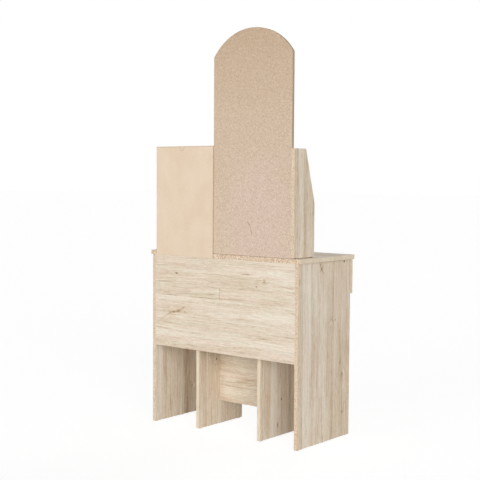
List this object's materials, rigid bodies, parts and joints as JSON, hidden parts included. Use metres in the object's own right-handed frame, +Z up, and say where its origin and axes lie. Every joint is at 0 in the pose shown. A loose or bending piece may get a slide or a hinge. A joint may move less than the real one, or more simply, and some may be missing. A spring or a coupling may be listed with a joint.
{
  "type": "vanity table with mirror",
  "caption": "Vanity table of light oak laminated chipboard with a tall arched mirror beside an open shelf cabinet, drawers under the top and a stool pushed in below.",
  "frame": {"origin": "on the floor, under the middle of the overall width and depth", "axes": "+Z up; -Y is the side where the user sits, +Y the rear; +X is to the seated user's right, where the shelf cabinet stands"},
  "size_m": [0.8, 0.4074, 1.6558],
  "materials": {
    "oak_laminate": "satin light oak print on chipboard",
    "raw_mdf": "bare fibreboard",
    "hardboard": "thin sheet, matt",
    "mirror": "silvered float glass",
    "adhesive": "cured mounting adhesive",
    "zinc": "plated die casting",
    "steel": "bright plated",
    "slide_steel": "plated sheet steel",
    "knob_metal": "satin nickel",
    "beech": "turned dowel",
    "white_plastic": "moulded",
    "pad_rubber": "matt",
    "seat_cloth": "woven upholstery cloth over foam"
  },
  "bodies": {
    "table": {"tabletop": "oak_laminate", "side_panel_left": "oak_laminate", "side_panel_right": "oak_laminate", "back_panel": "oak_laminate", "drawer_deck": "oak_laminate", "drawer_divider": "oak_laminate", "carcass_cam_locks": "zinc", "carcass_cam_bolts": "steel", "carcass_dowels": "beech", "table_glides": "white_plastic", "mirror_upright": "oak_laminate", "cabinet_upright_inner": "oak_laminate", "cabinet_upright_outer": "oak_laminate", "cabinet_top": "oak_laminate", "cabinet_shelf_lower": "oak_laminate", "cabinet_shelf_upper": "oak_laminate", "cabinet_back_sheet": "hardboard", "shelf_pins": "steel", "mirror_board": "raw_mdf", "mirror_glass": "mirror", "mirror_adhesive": "adhesive", "mirror_dowels": "beech", "upright_pads": "pad_rubber", "upright_screws": "steel", "cabinet_top_dowels": "beech", "sheet_nails": "steel", "slide_outer_members": "slide_steel", "slide_wall_screws": "steel"},
    "left_slide_middle": {"left_slide_middle_members": "slide_steel"},
    "right_slide_middle": {"right_slide_middle_members": "slide_steel"},
    "left_drawer": {"left_drawer_front": "oak_laminate", "left_drawer_box_front": "oak_laminate", "left_drawer_side_inner": "oak_laminate", "left_drawer_side_outer": "oak_laminate", "left_drawer_back": "oak_laminate", "left_drawer_bottom": "hardboard", "left_drawer_knob": "knob_metal", "left_drawer_slide_members": "slide_steel", "left_drawer_screws": "steel", "left_drawer_bumpers": "white_plastic"},
    "right_drawer": {"right_drawer_front": "oak_laminate", "right_drawer_box_front": "oak_laminate", "right_drawer_side_inner": "oak_laminate", "right_drawer_side_outer": "oak_laminate", "right_drawer_back": "oak_laminate", "right_drawer_bottom": "hardboard", "right_drawer_knob": "knob_metal", "right_drawer_slide_members": "slide_steel", "right_drawer_screws": "steel", "right_drawer_bumpers": "white_plastic"},
    "stool": {"stool_leg_left": "oak_laminate", "stool_leg_right": "oak_laminate", "stool_cross_panel": "oak_laminate", "stool_seat": "oak_laminate", "stool_cushion": "seat_cloth", "stool_cam_locks": "zinc", "stool_cam_bolts": "steel", "stool_dowels": "beech", "stool_glides": "white_plastic"}
  },
  "joints": [
    {"name": "left_drawer_slide", "type": "slide", "parent": "table", "child": "left_drawer", "axis": [0, -1, 0], "range_m": [0, 0.25]},
    {"name": "left_slide_middle_slide", "type": "slide", "parent": "table", "child": "left_slide_middle", "axis": [0, -1, 0], "range_m": [0, 0.125]},
    {"name": "right_drawer_slide", "type": "slide", "parent": "table", "child": "right_drawer", "axis": [0, -1, 0], "range_m": [0, 0.25]},
    {"name": "right_slide_middle_slide", "type": "slide", "parent": "table", "child": "right_slide_middle", "axis": [0, -1, 0], "range_m": [0, 0.125]},
    {"name": "stool_slide", "type": "slide", "parent": "table", "child": "stool", "axis": [0, -1, 0], "range_m": [0, 0.45]}
  ],
  "couplings": [
    {"joint": "left_slide_middle_slide", "follows": "left_drawer_slide", "ratio": 0.5},
    {"joint": "right_slide_middle_slide", "follows": "right_drawer_slide", "ratio": 0.5}
  ]
}
